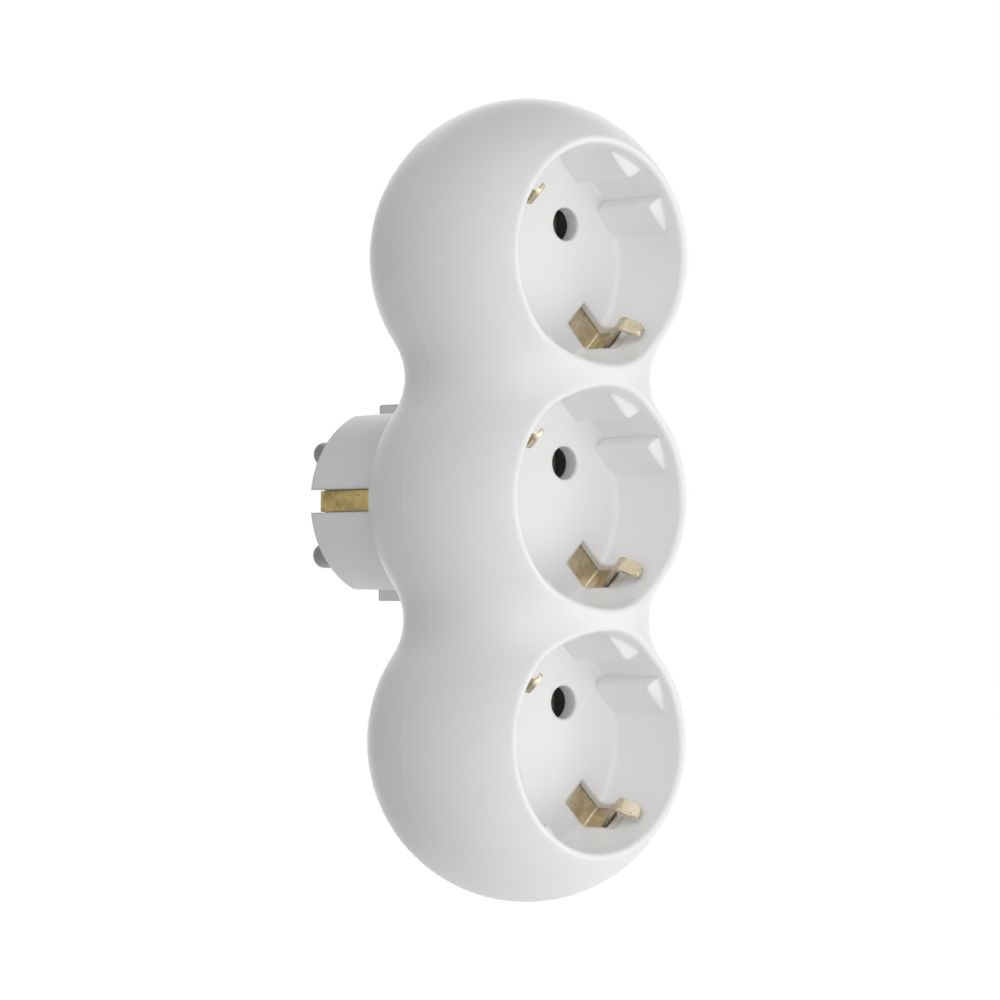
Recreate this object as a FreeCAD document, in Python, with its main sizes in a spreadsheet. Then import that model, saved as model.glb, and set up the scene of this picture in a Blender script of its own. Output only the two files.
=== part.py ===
import FreeCAD, Part
import math
import os
import Sketcher
from FreeCAD import Placement, Rotation, Vector

# Three-way plug-in adapter for two-pole and earth plugs: three ball lobes in an upright row, each
# with a recessed socket at the front, and one plug at the back of the middle lobe.
# Millimetres, +Z up. The origin is the centre of the plug's end face, and +Y runs out along its pins.
# Most sub-parts are drawn about the centre of the middle lobe, with the sockets towards -Y.

DIMENSIONS = {
    # Outer skin: three balls joined by hollow necks, turned about the upright axis.
    "lobe_margin": 9.0,
    "lobe_spread": 0.4,
    "neck_depth": 6.4,
    "end_flat": 2.0,
    "shell_wall": 2.2,
    "seam_place": 0.75,
    "lap_length": 1.2,
    "lap_depth": 1.1,
    "lap_clearance": 0.1,
    "back_depth": 7.7,
    "back_round": 2.5,
    # Sockets.
    "socket_margin": 2.0,
    "socket_land": 4.0,
    "socket_depth": 17.5,
    "rim_drop": 0.63,
    "rim_round": 0.8,
    "cup_wall": 1.8,
    "floor_wall": 1.6,
    "web_width": 24.0,
    "web_height": 7.0,
    "block_height": 2.75,
    "block_gap": 6.2,
    "block_lead_top": 2.5,
    "block_lead_end": 4.2,
    "block_round": 1.0,
    "floor_round": 1.0,
    "pin_spacing": 19.0,
    "pin_radius": 2.4,
    "pin_length": 18.6,
    "hole_radius": 3.0,
    "hole_round": 0.3,
    "sleeve_wall": 1.2,
    "sleeve_length": 1.4,
    "window_depth": 6.4,
    "slot_width": 5.7,
    "slot_top": 9.4,
    # Earth clips in the sockets.
    "strip_wall": 0.8,
    "strip_clearance": 0.3,
    "earth_width": 5.5,
    "earth_set": 1.0,
    "earth_bend": 1.0,
    "arm_width": 2.8,
    "arm_shoulder": 2.2,
    "arm_start": 14.6,
    "bump_depth": 8.3,
    "bump_round": 1.5,
    "far_bump_height": 4.0,
    "far_tip_height": 1.1,
    "near_bump_height": 6.4,
    "near_tip_height": 3.5,
    "tip_depth": 4.2,
    "tip_round": 1.3,
    # Line and neutral clips, one at each pin hole.
    "leaf_wall": 0.7,
    "leaf_width": 6.0,
    "leaf_gap": 4.2,
    "leaf_belly": 0.65,
    "leaf_flare": 1.25,
    "leaf_bend": 1.5,
    "clip_front": 3.0,
    "clip_waist": 6.4,
    "clip_back": 17.3,
    "lug_reach": 9.0,
    "lug_round": 1.5,
    "rivet_radius": 1.25,
    "rivet_head_radius": 2.1,
    "rivet_head_height": 0.6,
    "rivet_offset": 6.4,
    # Busbars.
    "bar_front": 6.0,
    "bar_width": 6.0,
    "bar_end": 3.6,
    "bar_round": 1.0,
    "tab_width": 5.2,
    "tab_back": 18.4,
    "tab_bend": 1.2,
    "rib_wall": 2.0,
    "rib_width": 4.4,
    "rib_notch": 1.2,
    "rib_clearance": 0.1,
    # Earth busbar.
    "earth_bar_width": 4.4,
    "earth_bar_end": 3.0,
    "eye_wall": 1.6,
    "riser_foot": 4.6,
    "bridge_back": 20.0,
    # Plug.
    "plug_reach": 40.15,
    "plug_margin": 8.0,
    "flat_depth": 1.5,
    "plug_draft": 1.0,
    "plug_corner": 2.0,
    "plug_edge": 0.5,
    "plug_wall": 3.0,
    "key_width": 4.6,
    "key_height": 2.1,
    "key_end": 1.8,
    "key_round": 0.4,
    "hollow_wall": 3.0,
    "hollow_round": 6.0,
    "boss_radius": 4.6,
    "boss_clearance": 0.05,
    "shank_radius": 2.7,
    "collar_radius": 3.5,
    "collar_length": 2.0,
    "collar_clearance": 0.2,
    "spigot_radius": 1.3,
    "pin_tip_round": 2.0,
    "side_strip_depth": 1.9,
    "side_strip_width": 3.8,
    "side_groove_width": 4.2,
    "hook_length": 2.4,
    # Screws.
    "end_screw_depth": 5.5,
    "post_radius": 2.8,
    "post_end": 8.0,
    "post_hole_bottom": 0.6,
    "tube_radius": 4.2,
    "screw_seat": 2.0,
    "screw_radius": 1.45,
    "screw_length": 9.0,
    "screw_head_radius": 2.6,
    "screw_head_height": 1.9,
    "screw_clearance": 0.15,
    "head_clearance": 0.3,
    # Cutting shapes run this far past what they cut.
    "overrun": 0.5,
    "cut_length": 90.0,
}


class Size:
    """A length or an angle: the sheet's expression for it, and the number that it gives now."""

    def __init__(self, text, number):
        self.text = text
        self.number = number

    def combine(self, sign, other, number):
        return Size(f"({self.text} {sign} {other.text})", number)

    def __add__(self, other):
        other = as_size(other)
        return self.combine("+", other, self.number + other.number)

    def __sub__(self, other):
        other = as_size(other)
        return self.combine("-", other, self.number - other.number)

    def __mul__(self, other):
        other = as_size(other)
        return self.combine("*", other, self.number * other.number)

    def __truediv__(self, other):
        other = as_size(other)
        return self.combine("/", other, self.number / other.number)

    def __neg__(self):
        return Size(f"(0 - {self.text})", -self.number)


def as_size(item):
    if isinstance(item, Size):
        return item
    return Size(f"{float(item)}", float(item))


def root(size):
    return Size(f"sqrt({size.text})", math.sqrt(size.number))


class Sheet:
    """The sizes of the spreadsheet, by name."""

    def __getattr__(self, name):
        return Size(f"dims.{name}", DIMENSIONS[name])


dims = Sheet()


def fill_sheet(document):
    sheet = document.addObject("Spreadsheet::Sheet", "dims")
    for row, (name, number) in enumerate(DIMENSIONS.items(), start=1):
        sheet.set(f"A{row}", str(number))
        sheet.setAlias(f"A{row}", name)
    document.recompute()


# Sizes that follow from the spacing of the pins.
PIN_REACH = dims.pin_spacing / 2
PLUG_RADIUS = PIN_REACH + dims.plug_margin
PLUG_FLAT = PLUG_RADIUS - dims.flat_depth
KEY_REACH = PLUG_FLAT + dims.key_height
SIDE_STRIP_REACH = PLUG_RADIUS - dims.side_strip_depth
HOLLOW_ACROSS = SIDE_STRIP_REACH - dims.hollow_wall
HOLLOW_UP = PIN_REACH + dims.collar_radius + dims.collar_clearance
SOCKET_RADIUS = PLUG_RADIUS + dims.socket_margin
SOCKET_PITCH = SOCKET_RADIUS * 2 + dims.socket_land
LOBE_RADIUS = SOCKET_RADIUS + dims.lobe_margin
LOBE_PITCH = SOCKET_PITCH + dims.lobe_spread
BACK_PLACE = LOBE_RADIUS - dims.back_depth
BLOCK_REACH = SOCKET_RADIUS - dims.block_height
EARTH_REACH = SOCKET_RADIUS + dims.earth_set
NECK_SCREW_PLACE = SOCKET_PITCH / 2
END_SCREW_PLACE = SOCKET_PITCH + SOCKET_RADIUS - dims.end_screw_depth

# Places that several sub-parts share, measured from the middle lobe's centre.
RIM = root(LOBE_RADIUS * LOBE_RADIUS - SOCKET_RADIUS * SOCKET_RADIUS) - dims.rim_drop
FLOOR_FRONT = dims.socket_depth - RIM
FLOOR_BACK = FLOOR_FRONT + dims.floor_wall
SLEEVE_END = FLOOR_BACK + dims.sleeve_length
SOCKET_PLACES = {
    "top": SOCKET_PITCH,
    "middle": as_size(0),
    "bottom": -SOCKET_PITCH,
}
SOCKET_TURN = -45
PIN_SHIFT = dims.pin_spacing / root(as_size(8))
BAR_INSIDE = PIN_SHIFT + dims.leaf_gap / 2 + dims.leaf_wall
SCREW_PLACES = [END_SCREW_PLACE, NECK_SCREW_PLACE, -NECK_SCREW_PLACE, -END_SCREW_PLACE]


def depth_place(depth):
    """The place along Y of a depth below the sockets' rim."""
    return depth - RIM


# Sketch tools: every number drawn is also bound to the sheet.

def new_body(document, name):
    body = document.addObject("PartDesign::Body", name)
    body.Label = name
    return body


def place(item, x=0, y=0, z=0, turn=0):
    """Turn about the plug's axis, then move."""
    item.Placement = Placement(Vector(), Rotation(Vector(0, 1, 0), turn))
    for axis, size in (("x", x), ("y", y), ("z", z)):
        item.setExpression(f"Placement.Base.{axis}", as_size(size).text)


def place_at_lobe(item, x=0, z=0, turn=0):
    place(item, x, -dims.plug_reach, z, turn)


def new_sketch(body, name, role, offset=0):
    plane = next(item for item in body.Origin.OriginFeatures if item.Role == role)
    sketch = body.newObject("Sketcher::SketchObject", f"{body.Name}_{name}")
    sketch.AttachmentSupport = [(plane, "")]
    sketch.MapMode = "FlatFace"
    sketch.setExpression("AttachmentOffset.Base.z", as_size(offset).text)
    return sketch


def cross_sketch(body, name, y=0):
    """A sketch across the plug's axis at y, with X to the right and Z up."""
    return new_sketch(body, name, "XZ_Plane", -as_size(y))


def constrain(sketch, kind, size, *elements):
    size = as_size(size)
    index = sketch.addConstraint(Sketcher.Constraint(kind, *elements, size.number))
    sketch.setExpression(f"Constraints[{index}]", size.text)


def join(sketch, kind, *elements):
    sketch.addConstraint(Sketcher.Constraint(kind, *elements))


def fix_point(sketch, index, position, x, y):
    constrain(sketch, "DistanceX", x, -1, 1, index, position)
    constrain(sketch, "DistanceY", y, -1, 1, index, position)


def draw_circle(sketch, x, y, radius):
    x, y, radius = as_size(x), as_size(y), as_size(radius)
    centre = Vector(x.number, y.number, 0)
    index = sketch.addGeometry(Part.Circle(centre, Vector(0, 0, 1), radius.number))
    fix_point(sketch, index, 3, x, y)
    constrain(sketch, "Radius", radius, index)


def arc_between(centre, first, last):
    """The arc about centre that runs anticlockwise from first to last."""
    start = math.atan2(first.y - centre.y, first.x - centre.x)
    end = math.atan2(last.y - centre.y, last.x - centre.x)
    if end <= start:
        end += 2 * math.pi
    circle = Part.Circle(centre, Vector(0, 0, 1), (first - centre).Length)
    return Part.ArcOfCircle(circle, start, end)


class Corner:
    """One corner of an outline: a plain point, or rounded where a radius is given."""

    def __init__(self, x, y, radius=None):
        self.x = as_size(x)
        self.y = as_size(y)
        self.radius = as_size(radius) if radius is not None else None
        self.point = Vector(self.x.number, self.y.number, 0)
        self.enter = self.point
        self.leave = self.point

    def round_between(self, before, after):
        back = (before.point - self.point).normalize()
        ahead = (after.point - self.point).normalize()
        half = back.getAngle(ahead) / 2
        trim = self.radius.number / math.tan(half)
        self.enter = self.point + back * trim
        self.leave = self.point + ahead * trim
        middle = (back + ahead).normalize()
        self.centre = self.point + middle * (self.radius.number / math.sin(half))
        self.left_turn = ahead.cross(back).z > 0


def draw_outline(sketch, corners, closed=True):
    """Straight runs from corner to corner, as a closed outline or an open path."""
    corners = [Corner(*corner) for corner in corners]
    count = len(corners)
    for index, corner in enumerate(corners):
        if corner.radius is not None:
            corner.round_between(corners[index - 1], corners[(index + 1) % count])
    runs = []
    for index in range(count if closed else count - 1):
        following = corners[(index + 1) % count]
        line = Part.LineSegment(corners[index].leave, following.enter)
        runs.append(sketch.addGeometry(line))
    for index, corner in enumerate(corners):
        before = runs[index - 1] if closed or index > 0 else None
        after = runs[index] if index < len(runs) else None
        fix_corner(sketch, corner, before, after)


def fix_corner(sketch, corner, before, after):
    if corner.radius is not None:
        round_corner(sketch, corner, before, after)
        return
    if before is not None and after is not None:
        join(sketch, "Coincident", before, 2, after, 1)
    if after is not None:
        fix_point(sketch, after, 1, corner.x, corner.y)
    else:
        fix_point(sketch, before, 2, corner.x, corner.y)


def round_corner(sketch, corner, before, after):
    point = sketch.addGeometry(Part.Point(corner.point), True)
    fix_point(sketch, point, 1, corner.x, corner.y)
    join(sketch, "PointOnObject", point, 1, before)
    join(sketch, "PointOnObject", point, 1, after)
    first, last = corner.enter, corner.leave
    first_end, last_end = 1, 2
    if not corner.left_turn:
        first, last = last, first
        first_end, last_end = 2, 1
    arc = sketch.addGeometry(arc_between(corner.centre, first, last))
    join(sketch, "Tangent", before, 2, arc, first_end)
    join(sketch, "Tangent", after, 1, arc, last_end)
    constrain(sketch, "Radius", corner.radius, arc)


def draw_box(sketch, left, right, bottom, top, radius=None):
    corners = [(left, bottom), (right, bottom), (right, top), (left, top)]
    if radius is not None:
        corners = [(x, y, radius) for x, y in corners]
    draw_outline(sketch, corners)


def both_ways(corners):
    """The same outline on both sides of the sketch's upright axis."""
    mirrored = [(-as_size(corner[0]), *corner[1:]) for corner in corners]
    return corners, mirrored[::-1]


# Features.

def add_feature(body, kind, sketch, name):
    feature = body.newObject(f"PartDesign::{kind}", name)
    feature.Profile = sketch
    return feature


def extrude(body, kind, sketch, length, backwards=False, taper=0, both_sides=False):
    """A pad or a pocket. A pad runs along the sketch's normal, a pocket against it."""
    feature = add_feature(body, kind, sketch, f"{sketch.Name}_{kind.lower()}")
    feature.setExpression("Length", as_size(length).text)
    feature.Reversed = backwards
    if both_sides:
        feature.SideType = "Symmetric"
    if taper:
        feature.setExpression("TaperAngle", as_size(taper).text)
    return feature


def pad(body, sketch, length, **options):
    return extrude(body, "Pad", sketch, length, **options)


def pocket(body, sketch, length, **options):
    return extrude(body, "Pocket", sketch, length, **options)


def revolve(body, sketch):
    feature = add_feature(body, "Revolution", sketch, f"{sketch.Name}_turned")
    feature.ReferenceAxis = (sketch, ["V_Axis"])
    feature.Angle = 360
    return feature


def join_bodies(body, kind, tools, name):
    """Cut or fuse other bodies, which lie in this body's own frame."""
    feature = body.newObject("PartDesign::Boolean", f"{body.Name}_{name}")
    feature.Type = kind
    feature.setObjects(tools)
    return feature


def sweep(body, section, path):
    feature = add_feature(body, "AdditivePipe", section, f"{path.Name}_swept")
    feature.Spine = (path, [])
    return feature


def mirror(body, feature, role):
    plane = next(item for item in body.Origin.OriginFeatures if item.Role == role)
    copy = body.newObject("PartDesign::Mirrored", f"{feature.Name}_mirrored")
    copy.Originals = [feature]
    copy.MirrorPlane = (plane, [""])
    body.Tip = copy
    return copy


def edges_where(shape, test):
    """Names of the edges whose sampled points all pass the test."""
    names = []
    for index, edge in enumerate(shape.Edges, start=1):
        if edge.Degenerated:
            continue
        if all(test(point) for point in edge.discretize(9)):
            names.append(f"Edge{index}")
    return names


def round_edges(body, name, radius, test):
    body.Document.recompute()
    base = body.Tip
    names = edges_where(base.Shape, test)
    feature = body.newObject("PartDesign::Fillet", f"{body.Name}_{name}")
    feature.Base = (base, names)
    feature.setExpression("Radius", as_size(radius).text)
    body.Tip = feature
    return feature


# Housing.

def draw_lobes(sketch, inset):
    """Half of the three-ball outline beside the upright axis, drawn inset inside the skin."""
    ball = LOBE_RADIUS - inset
    neck = ball - dims.neck_depth
    half_pitch = LOBE_PITCH / 2
    hollow = (neck * neck + half_pitch * half_pitch - ball * ball) / ((ball - neck) * 2)
    centres = [Vector(0, side * LOBE_PITCH.number, 0) for side in (-1, 0, 1)]
    hollows = [Vector(neck.number + hollow.number, side * half_pitch.number, 0) for side in (-1, 1)]
    share = ball.number / (ball.number + hollow.number)
    lower = [centres[index] + (hollows[index] - centres[index]) * share for index in (0, 1)]
    upper = [centres[index + 1] + (hollows[index] - centres[index + 1]) * share for index in (0, 1)]
    flat = dims.end_flat
    end = LOBE_PITCH + root(ball * ball - flat * flat)
    foot = Vector(flat.number, -end.number, 0)
    head = Vector(flat.number, end.number, 0)
    balls = []
    for centre, first, last in zip(centres, (foot, upper[0], upper[1]), (lower[0], lower[1], head)):
        balls.append(sketch.addGeometry(arc_between(centre, first, last)))
    for index, offset in zip(balls, (-LOBE_PITCH, as_size(0), LOBE_PITCH)):
        fix_point(sketch, index, 3, 0, offset)
        constrain(sketch, "Radius", ball, index)
    for number in (0, 1):
        arc = sketch.addGeometry(arc_between(hollows[number], upper[number], lower[number]))
        join(sketch, "Tangent", balls[number], 2, arc, 2)
        join(sketch, "Tangent", arc, 1, balls[number + 1], 1)
        constrain(sketch, "Radius", hollow, arc)
    constrain(sketch, "DistanceX", flat, -1, 1, balls[2], 2)
    constrain(sketch, "DistanceX", flat, -1, 1, balls[0], 1)
    points = [head, Vector(0, end.number, 0), Vector(0, -end.number, 0), foot]
    lines = [sketch.addGeometry(Part.LineSegment(*run)) for run in zip(points, points[1:])]
    for before, after in zip([balls[2], *lines], [*lines, balls[0]]):
        join(sketch, "Coincident", before, 2, after, 1)
    join(sketch, "Horizontal", lines[0])
    join(sketch, "Horizontal", lines[2])
    join(sketch, "PointOnObject", lines[1], 1, -2)
    join(sketch, "PointOnObject", lines[1], 2, -2)


def turned_lobes(body, inset):
    sketch = new_sketch(body, "lobes", "XZ_Plane")
    draw_lobes(sketch, as_size(inset))
    return revolve(body, sketch)


def cut_behind(body, name, y):
    """Remove what lies behind the plane at y."""
    sketch = cross_sketch(body, name, y)
    draw_box(sketch, -dims.cut_length, dims.cut_length, -dims.cut_length, dims.cut_length)
    return pocket(body, sketch, dims.cut_length)


def cut_before(body, name, y):
    """Remove what lies in front of the plane at y."""
    sketch = cross_sketch(body, name, y)
    draw_box(sketch, -dims.cut_length, dims.cut_length, -dims.cut_length, dims.cut_length)
    return pocket(body, sketch, dims.cut_length, backwards=True)


def front_hollow(document):
    """The space inside the front shell, around the three cups."""
    body = new_body(document, "front_hollow")
    turned_lobes(body, dims.shell_wall)
    cups = cross_sketch(body, "cups", FLOOR_BACK)
    for offset in SOCKET_PLACES.values():
        draw_circle(cups, 0, offset, SOCKET_RADIUS + dims.cup_wall)
    pocket(body, cups, dims.cut_length, backwards=True)
    webs = cross_sketch(body, "webs", FLOOR_BACK)
    for side in (1, -1):
        middle = SOCKET_PITCH / 2 * side
        draw_box(
            webs,
            -dims.web_width / 2,
            dims.web_width / 2,
            middle - dims.web_height / 2,
            middle + dims.web_height / 2,
        )
    pocket(body, webs, dims.cut_length, backwards=True)
    return body


def lap_slice(document, name, inset, first, last):
    """A slice of the lobes between two planes, for the lap joint at the seam."""
    body = new_body(document, name)
    turned_lobes(body, inset)
    cut_before(body, "front", first)
    cut_behind(body, "back", last)
    return body


def recess(document, place_name):
    """The space of one socket: round recess, key blocks, pin holes and earth slots."""
    body = new_body(document, f"recess_{place_name}")
    mouth = cross_sketch(body, "mouth", FLOOR_FRONT)
    draw_circle(mouth, 0, 0, SOCKET_RADIUS)
    pad(body, mouth, LOBE_RADIUS)
    floor = FLOOR_FRONT.number
    round_edges(body, "floor_round", dims.floor_round, lambda point: abs(point.y - floor) < 1e-4)
    cut_key_blocks(body)
    round_edges(body, "block_round", dims.block_round, on_block_corner)
    holes = cross_sketch(body, "pin_holes", FLOOR_FRONT - dims.overrun)
    for side in (1, -1):
        draw_circle(holes, PIN_REACH * side, 0, dims.hole_radius)
    pad(body, holes, SLEEVE_END - FLOOR_FRONT + dims.overrun * 2, backwards=True)

    def on_hole_lip(point):
        reach = math.hypot(abs(point.x) - PIN_REACH.number, point.z)
        return abs(point.y - floor) < 1e-4 and abs(reach - dims.hole_radius.number) < 1e-4

    round_edges(body, "hole_lips", dims.hole_round, on_hole_lip)
    cut_earth_slots(body)
    return body


def on_block_corner(point):
    """Whether a point lies on the long corner of a key block, beside the key's groove."""
    beside_groove = abs(abs(point.z) - dims.block_gap.number / 2) < 1e-4
    return beside_groove and abs(abs(point.x) - BLOCK_REACH.number) < 1e-4


def cut_key_blocks(body):
    """Blocks at both ends of the pin line, each with a groove for the plug's key and a sloped end."""
    profile = [
        (BLOCK_REACH, FLOOR_FRONT + dims.overrun),
        (BLOCK_REACH, depth_place(dims.block_lead_end)),
        (SOCKET_RADIUS, depth_place(dims.block_lead_top)),
        (LOBE_RADIUS, depth_place(dims.block_lead_top)),
        (LOBE_RADIUS, FLOOR_FRONT + dims.overrun),
    ]
    for name, side in (("upper_blocks", 1), ("lower_blocks", -1)):
        sketch = new_sketch(body, name, "XY_Plane", dims.block_gap / 2 * side)
        for outline in both_ways(profile):
            draw_outline(sketch, outline)
        pocket(body, sketch, SOCKET_RADIUS, backwards=side > 0)


def cut_earth_slots(body):
    """At both sides a window in the floor and a slot up the wall, for the earth clip."""
    outside = EARTH_REACH + dims.strip_wall + dims.strip_clearance
    inside = SOCKET_RADIUS - dims.cup_wall
    floor_cut = FLOOR_BACK + dims.overrun
    floor_top = FLOOR_FRONT - dims.overrun
    top = depth_place(dims.slot_top)
    start = SOCKET_RADIUS - dims.window_depth
    for name, side in (("far_slot", 1), ("near_slot", -1)):
        sketch = new_sketch(body, name, "YZ_Plane")
        outline = [
            (floor_cut, start * side),
            (floor_cut, outside * side),
            (top, outside * side),
            (top, inside * side),
            (floor_top, inside * side),
            (floor_top, start * side),
        ]
        draw_outline(sketch, outline)
        pad(body, sketch, dims.slot_width, both_sides=True)


def pin_places():
    """Every pin hole: node name, place across, place up and turn of its clip."""
    places = []
    for socket, offset in SOCKET_PLACES.items():
        places.append((f"line_clip_{socket}", PIN_SHIFT, offset + PIN_SHIFT, 0))
        places.append((f"neutral_clip_{socket}", -PIN_SHIFT, offset - PIN_SHIFT, 180))
    return places


def on_socket_mouth(point):
    """Whether a point lies on the edge where a socket's wall meets the outer skin."""
    if point.y > depth_place(as_size(0)).number + dims.rim_round.number:
        return False
    for offset in SOCKET_PLACES.values():
        reach = math.hypot(point.x, point.z - offset.number)
        if abs(reach - SOCKET_RADIUS.number) < 1e-4:
            return True
    return False


def front_housing(document):
    """The front shell with its three socket cups, pin sleeves, screw posts and bar ribs."""
    body = new_body(document, "front_housing")
    place_at_lobe(body)
    turned_lobes(body, 0)
    cut_behind(body, "seam", dims.seam_place)
    join_bodies(body, "Cut", [front_hollow(document)], "hollow")
    rebate = lap_slice(
        document,
        "front_rebate",
        dims.shell_wall - dims.lap_depth,
        dims.seam_place - dims.lap_length - dims.lap_clearance,
        dims.seam_place + dims.overrun,
    )
    join_bodies(body, "Cut", [rebate], "rebate")
    sleeves = cross_sketch(body, "sleeves", FLOOR_BACK - dims.overrun)
    for _, across, up, _ in pin_places():
        draw_circle(sleeves, across, up, dims.hole_radius + dims.sleeve_wall)
    pad(body, sleeves, dims.sleeve_length + dims.overrun, backwards=True)
    posts = cross_sketch(body, "posts", FLOOR_BACK - dims.overrun)
    for up in SCREW_PLACES:
        draw_circle(posts, 0, up, dims.post_radius)
    pad(body, posts, dims.post_end - FLOOR_BACK + dims.overrun, backwards=True)
    for name, outline, up in bar_ribs(dims.bar_front, dims.rib_notch, FLOOR_BACK - dims.overrun):
        sketch = new_sketch(body, f"rib_{name}", "XY_Plane", up)
        draw_outline(sketch, outline)
        pad(body, sketch, dims.rib_wall, both_sides=True)
    recesses = []
    for name, offset in SOCKET_PLACES.items():
        tool = recess(document, name)
        place(tool, z=offset, turn=SOCKET_TURN)
        recesses.append(tool)
    join_bodies(body, "Cut", recesses, "recesses")
    holes = cross_sketch(body, "post_holes", dims.post_hole_bottom)
    for up in SCREW_PLACES:
        draw_circle(holes, 0, up, dims.screw_radius)
    pocket(body, holes, dims.post_end)
    round_edges(body, "rim_round", dims.rim_round, on_socket_mouth)
    return body


def rear_hollow(document):
    """The space inside the rear shell, around its screw tubes and bar ribs."""
    body = new_body(document, "rear_hollow")
    turned_lobes(body, dims.shell_wall)
    cut_behind(body, "back", BACK_PLACE - dims.shell_wall)
    tubes = cross_sketch(body, "tubes", dims.post_end)
    for up in SCREW_PLACES:
        draw_circle(tubes, 0, up, dims.tube_radius)
    pocket(body, tubes, dims.cut_length)
    back = dims.bar_front + dims.bar_width
    for name, outline, up in bar_ribs(back, -dims.rib_notch, LOBE_RADIUS):
        sketch = new_sketch(body, f"rib_{name}", "XY_Plane", up)
        draw_outline(sketch, outline)
        pocket(body, sketch, dims.rib_wall, both_sides=True)
    return body


def bar_ribs(seat, notch, base):
    """Notched ribs that hold a busbar's edge at seat, on both bars, at both necks."""
    middle = BAR_INSIDE + dims.strip_wall / 2
    slot = dims.strip_wall / 2 + dims.rib_clearance
    half = dims.rib_width / 2
    right = [
        (middle - half, base),
        (middle - half, seat + notch),
        (middle - slot, seat + notch),
        (middle - slot, seat),
        (middle + slot, seat),
        (middle + slot, seat + notch),
        (middle + half, seat + notch),
        (middle + half, base),
    ]
    ribs = []
    for level, up in (("upper", NECK_SCREW_PLACE), ("lower", -NECK_SCREW_PLACE)):
        for side, outline in zip(("right", "left"), both_ways(right)):
            ribs.append((f"{level}_{side}", outline, up))
    return ribs


def rear_housing(document):
    """The rear shell with the plug's nose, pin bosses and screw tubes."""
    body = new_body(document, "rear_housing")
    place_at_lobe(body)
    turned_lobes(body, 0)
    cut_before(body, "seam", dims.seam_place)
    cut_behind(body, "back", BACK_PLACE)
    back = BACK_PLACE.number
    round_edges(body, "back_round", dims.back_round, lambda point: abs(point.y - back) < 1e-4)
    tongue = lap_slice(
        document,
        "rear_tongue",
        dims.shell_wall - dims.lap_depth + dims.lap_clearance,
        dims.seam_place - dims.lap_length,
        dims.seam_place + dims.overrun,
    )
    join_bodies(body, "Fuse", [tongue], "tongue")
    join_bodies(body, "Cut", [rear_hollow(document)], "hollow")
    add_nose(body)
    cut_side_grooves(body)
    bore_screw_tubes(body)
    return body


def add_nose(body):
    """The plug's nose: a drafted round with two flats, a key on each flat, and the pins' bosses."""
    length = dims.plug_reach - BACK_PLACE
    nose = cross_sketch(body, "nose", dims.plug_reach)
    draw_flatted_round(nose, PLUG_RADIUS, PLUG_FLAT)
    pad(body, nose, length + dims.overrun, taper=dims.plug_draft)
    corner = root(PLUG_RADIUS * PLUG_RADIUS - PLUG_FLAT * PLUG_FLAT).number
    flat = PLUG_FLAT.number
    spread = math.tan(math.radians(dims.plug_draft.number)) * length.number * 2
    end = dims.plug_reach.number

    def on_corner(point):
        near_corner = abs(abs(point.x) - corner) < spread and abs(abs(point.z) - flat) < spread
        return near_corner and point.y > BACK_PLACE.number - 1e-4

    round_edges(body, "nose_corners", dims.plug_corner, on_corner)
    round_edges(body, "nose_end", dims.plug_edge, lambda point: abs(point.y - end) < 1e-4)
    keys = cross_sketch(body, "keys", dims.plug_reach - dims.key_end)
    for side in (1, -1):
        ends = sorted([HOLLOW_UP * side, KEY_REACH * side], key=lambda size: size.number)
        draw_box(keys, -dims.key_width / 2, dims.key_width / 2, ends[0], ends[1])
    pad(body, keys, length - dims.key_end + dims.overrun)
    key_front = dims.plug_reach.number - dims.key_end.number
    key_reach = KEY_REACH.number

    def on_key_front(point):
        return abs(point.y - key_front) < 1e-4 and abs(abs(point.z) - key_reach) < 1e-4

    round_edges(body, "key_round", dims.key_round, on_key_front)
    hollow_front = BACK_PLACE - dims.shell_wall - dims.overrun
    hollow = cross_sketch(body, "hollow", hollow_front)
    draw_box(
        hollow,
        -HOLLOW_ACROSS,
        HOLLOW_ACROSS,
        -HOLLOW_UP,
        HOLLOW_UP,
        dims.hollow_round,
    )
    pocket(body, hollow, dims.plug_reach - dims.plug_wall - hollow_front)
    boss_front = dims.tab_back + dims.collar_length
    bosses = cross_sketch(body, "bosses", boss_front)
    for side in (1, -1):
        draw_circle(bosses, 0, PIN_REACH * side, dims.boss_radius)
    pad(body, bosses, dims.plug_reach - dims.plug_wall - boss_front + dims.overrun, backwards=True)
    bores = cross_sketch(body, "bores", boss_front - dims.overrun)
    for side in (1, -1):
        draw_circle(bores, 0, PIN_REACH * side, dims.shank_radius + dims.boss_clearance)
    pocket(body, bores, dims.plug_reach)


def draw_flatted_round(sketch, radius, flat):
    """A circle about the origin with level flats above and below."""
    reach = root(radius * radius - flat * flat)
    right_top = Vector(reach.number, flat.number, 0)
    right_bottom = Vector(reach.number, -flat.number, 0)
    left_top = Vector(-reach.number, flat.number, 0)
    left_bottom = Vector(-reach.number, -flat.number, 0)
    right = sketch.addGeometry(arc_between(Vector(), right_bottom, right_top))
    left = sketch.addGeometry(arc_between(Vector(), left_top, left_bottom))
    top = sketch.addGeometry(Part.LineSegment(right_top, left_top))
    bottom = sketch.addGeometry(Part.LineSegment(left_bottom, right_bottom))
    for arc in (right, left):
        join(sketch, "Coincident", arc, 3, -1, 1)
    constrain(sketch, "Radius", radius, right)
    join(sketch, "Coincident", right, 2, top, 1)
    join(sketch, "Coincident", top, 2, left, 1)
    join(sketch, "Coincident", left, 2, bottom, 1)
    join(sketch, "Coincident", bottom, 2, right, 1)
    join(sketch, "Horizontal", top)
    join(sketch, "Horizontal", bottom)
    constrain(sketch, "DistanceY", flat, -1, 1, top, 1)
    constrain(sketch, "DistanceY", -flat, -1, 1, bottom, 1)


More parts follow.
